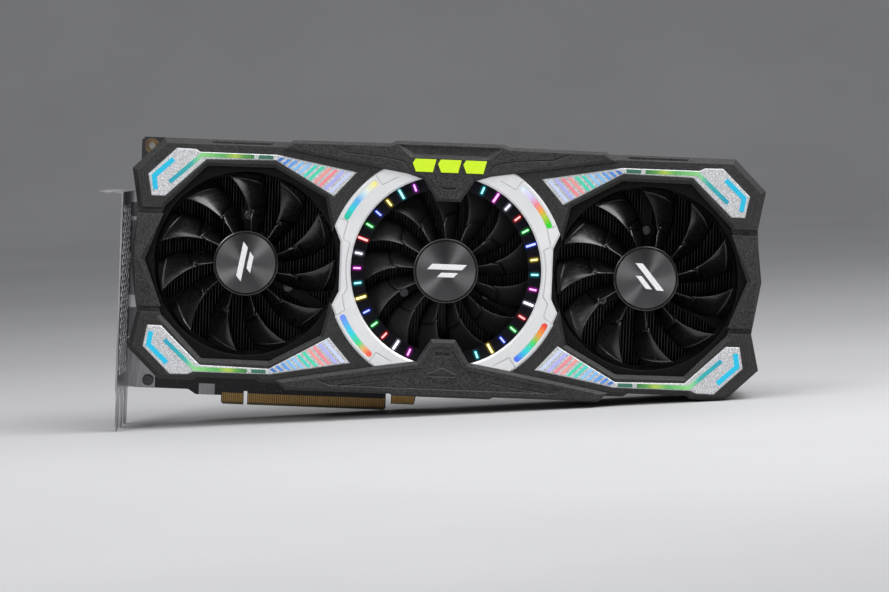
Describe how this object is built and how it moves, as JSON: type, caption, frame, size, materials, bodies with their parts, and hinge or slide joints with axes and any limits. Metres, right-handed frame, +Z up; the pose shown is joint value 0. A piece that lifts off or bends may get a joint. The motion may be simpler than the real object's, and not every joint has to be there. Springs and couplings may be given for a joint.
{
  "type": "graphics card",
  "caption": "Triple-fan graphics card with a lit silver centre ring, corner light panels, finned cooler, backplate and slot bracket.",
  "frame": {"origin": "middle of the bottom face of the long edge tongue", "axes": "+X along the card away from the bracket, +Z up from the edge connector, fans face -Y"},
  "size_m": [0.3331, 0.0616, 0.1508],
  "materials": {
    "shroud_plastic": "fine texture",
    "silver": "satin silver paint",
    "lamp": "lit diffuser",
    "dark_lens": "dark translucent",
    "badge_glow": "lit diffuser",
    "panel_silver": "glitter silver",
    "strip_glow": "lit diffuser",
    "fan_black": "gloss",
    "cap_metal": "spun, black",
    "mark_white": "gloss",
    "motor_plastic": "moulded",
    "steel": "satin",
    "fin_aluminium": "bare sheet",
    "nickel": "nickel plated",
    "black_aluminium": "anodised black",
    "board": "solder mask",
    "gold": "plated",
    "chip": "moulded",
    "pad": "soft",
    "choke": "pressed",
    "can": "drawn",
    "bracket_steel": "satin"
  },
  "bodies": {
    "card": {"backplate": "black_aluminium", "backplate_fasteners": "steel", "bottom_bridge": "shroud_plastic", "bracket_screws": "steel", "capacitors": "can", "center_ring": "silver", "circuit_board": "board", "cold_plate": "nickel", "display_ports": "steel", "edge_contacts": "gold", "fan_housing_center": "motor_plastic", "fan_housing_left": "motor_plastic", "fan_housing_right": "motor_plastic", "fan_motor_center": "motor_plastic", "fan_motor_left": "motor_plastic", "fan_motor_right": "motor_plastic", "fan_screws": "steel", "fin_stack_center": "fin_aluminium", "fin_stack_left": "fin_aluminium", "fin_stack_right": "fin_aluminium", "frame_left": "shroud_plastic", "frame_right": "shroud_plastic", "gpu_package": "chip", "hdmi_port": "steel", "heat_pipes": "nickel", "io_bracket": "bracket_steel", "led_ring": "dark_lens", "led_ticks": "lamp", "light_panel_lower_left": "panel_silver", "light_panel_lower_right": "panel_silver", "light_panel_upper_left": "panel_silver", "light_panel_upper_right": "panel_silver", "light_strips_lower_left": "strip_glow", "light_strips_lower_right": "strip_glow", "light_strips_upper_left": "strip_glow", "light_strips_upper_right": "strip_glow", "memory_chips": "chip", "midplate": "black_aluminium", "power_chokes": "choke", "power_socket": "board", "ring_lamps": "lamp", "shroud_deck": "shroud_plastic", "shroud_walls": "shroud_plastic", "side_brace_left": "shroud_plastic", "side_brace_right": "shroud_plastic", "thermal_pads": "pad", "top_badge": "badge_glow", "top_bridge": "shroud_plastic"},
    "fan_left_rotor": {"impeller_left": "fan_black", "hub_cap_left": "cap_metal", "hub_mark_left": "mark_white", "fan_shaft_left": "steel"},
    "fan_center_rotor": {"impeller_center": "fan_black", "hub_cap_center": "cap_metal", "hub_mark_center": "mark_white", "fan_shaft_center": "steel"},
    "fan_right_rotor": {"impeller_right": "fan_black", "hub_cap_right": "cap_metal", "hub_mark_right": "mark_white", "fan_shaft_right": "steel"}
  },
  "joints": [
    {"name": "fan_left_spin", "type": "hinge", "parent": "card", "child": "fan_left_rotor", "pos_m": [-0.03612, -0.04079, 0.075], "axis": [0, 1, 0], "continuous": true},
    {"name": "fan_center_spin", "type": "hinge", "parent": "card", "child": "fan_center_rotor", "pos_m": [0.06438, -0.04079, 0.075], "axis": [0, 1, 0], "continuous": true},
    {"name": "fan_right_spin", "type": "hinge", "parent": "card", "child": "fan_right_rotor", "pos_m": [0.16487, -0.04079, 0.075], "axis": [0, 1, 0], "continuous": true}
  ]
}
